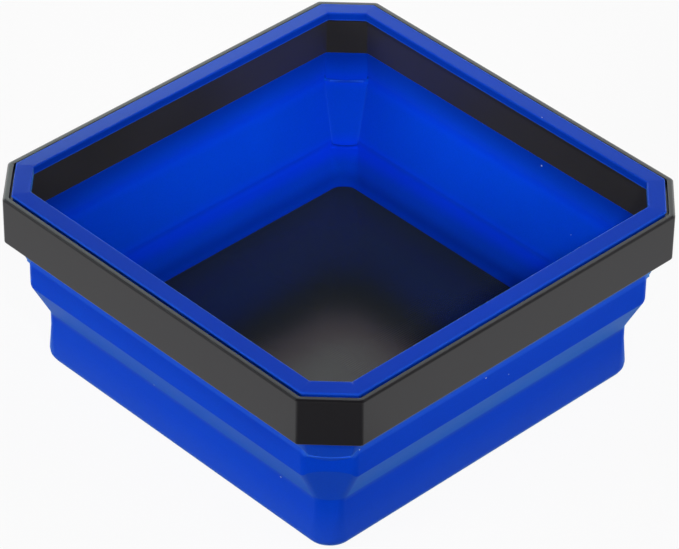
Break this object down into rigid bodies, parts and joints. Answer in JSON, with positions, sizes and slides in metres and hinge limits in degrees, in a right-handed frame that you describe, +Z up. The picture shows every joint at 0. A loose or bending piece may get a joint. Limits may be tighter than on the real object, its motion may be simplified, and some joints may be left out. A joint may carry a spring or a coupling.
{
  "type": "collapsible magnetic parts tray",
  "caption": "Square folding silicone tray with a clamped plastic rim and magnets under its flat floor, which holds loose screws and collapses to lie flat.",
  "frame": {"origin": "centre of the tray's underside, on the surface it stands on", "axes": "+Z up through the open mouth, X and Y parallel to the straight sides"},
  "size_m": [0.108, 0.108, 0.0466],
  "materials": {
    "silicone": "satin moulded blue silicone",
    "frame_plastic": "satin moulded black",
    "floor_plastic": "semi-gloss black with a fine texture",
    "carrier_plastic": "plain moulded black",
    "magnet_nickel": "nickel plated"
  },
  "bodies": {
    "base": {"base_cup": "silicone", "fold_panel": "silicone", "magnet_carrier": "carrier_plastic", "floor_plate": "floor_plastic", "magnet_1": "magnet_nickel", "magnet_2": "magnet_nickel", "magnet_3": "magnet_nickel", "magnet_4": "magnet_nickel", "magnet_5": "magnet_nickel", "magnet_6": "magnet_nickel", "magnet_7": "magnet_nickel", "magnet_8": "magnet_nickel", "magnet_9": "magnet_nickel"},
    "rim": {"outer_frame": "frame_plastic", "inner_frame": "frame_plastic", "collar": "silicone"}
  },
  "joints": [
    {"name": "collapse", "type": "slide", "parent": "base", "child": "rim", "axis": [0, 0, -1], "range_m": [0, 0.026], "deforming": ["fold_panel"]}
  ]
}
